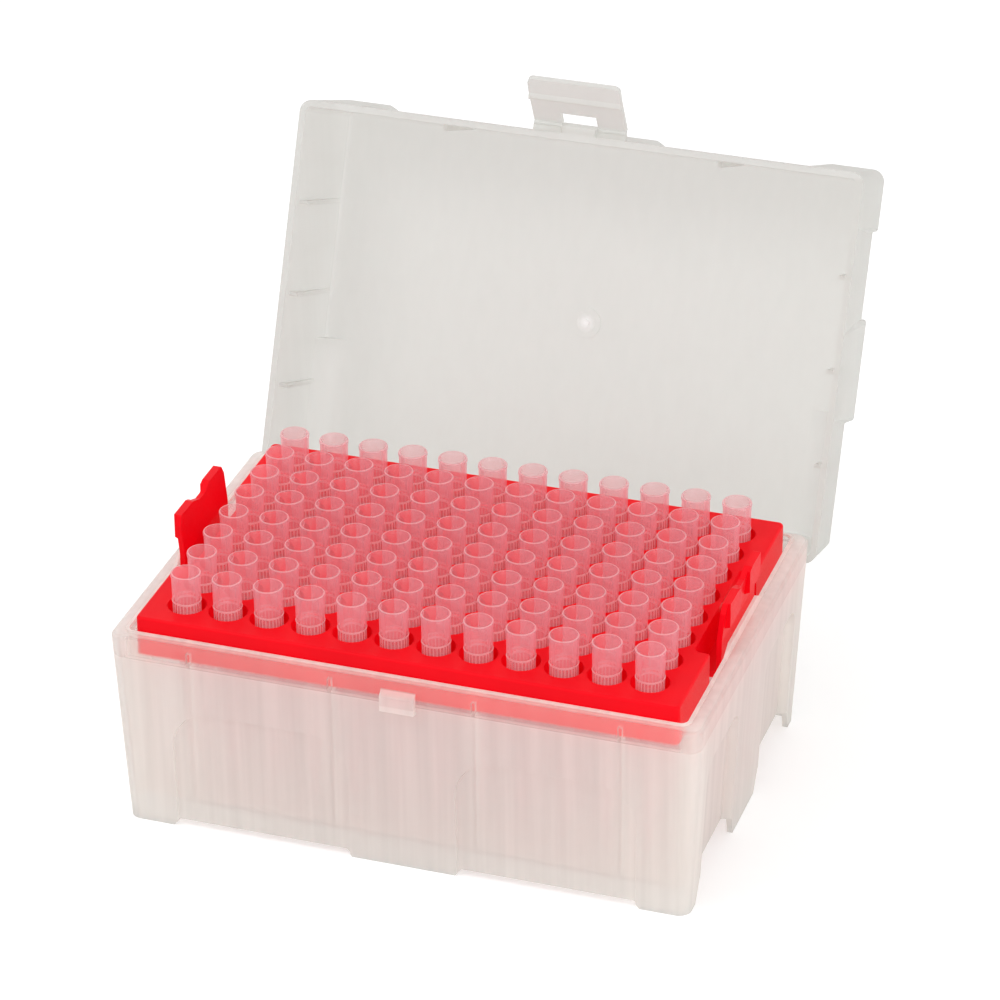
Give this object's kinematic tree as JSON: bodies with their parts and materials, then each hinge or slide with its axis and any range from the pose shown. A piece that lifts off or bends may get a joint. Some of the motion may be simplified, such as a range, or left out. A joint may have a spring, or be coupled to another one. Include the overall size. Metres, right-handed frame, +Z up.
{
  "type": "box of pipette tips",
  "caption": "Hinged translucent rack box standing open, with a red insert plate full of clear pipette tips, squeeze tabs and a latch flap on the lid.",
  "frame": {"origin": "centre of the box's footprint, on the surface that it stands on", "axes": "+Z up, +X along the rows of twelve tips, +Y towards the hinge and the open lid"},
  "size_m": [0.1268, 0.1434, 0.1273],
  "materials": {
    "base_plastic": "translucent natural polypropylene",
    "lid_plastic": "translucent natural polypropylene",
    "insert_plastic": "bright red moulded plastic",
    "tip_plastic": "clear polypropylene"
  },
  "bodies": {
    "base": {"base": "base_plastic", "insert_plate": "insert_plastic", "tips_column_01": "tip_plastic", "tips_column_02": "tip_plastic", "tips_column_03": "tip_plastic", "tips_column_04": "tip_plastic", "tips_column_05": "tip_plastic", "tips_column_06": "tip_plastic", "tips_column_07": "tip_plastic", "tips_column_08": "tip_plastic", "tips_column_09": "tip_plastic", "tips_column_10": "tip_plastic", "tips_column_11": "tip_plastic", "tips_column_12": "tip_plastic"},
    "lid": {"lid": "lid_plastic"},
    "latch_flap": {"latch_flap": "lid_plastic"}
  },
  "joints": [
    {"name": "lid_hinge", "type": "hinge", "parent": "base", "child": "lid", "pos_m": [0, 0.0402, 0.0395], "axis": [1, 0, 0], "range_deg": [0, 112.5]},
    {"name": "flap_hinge", "type": "hinge", "parent": "lid", "child": "latch_flap", "pos_m": [0, 0.07859, 0.11441], "axis": [1, 0, 0], "range_deg": [-69, 41]}
  ]
}
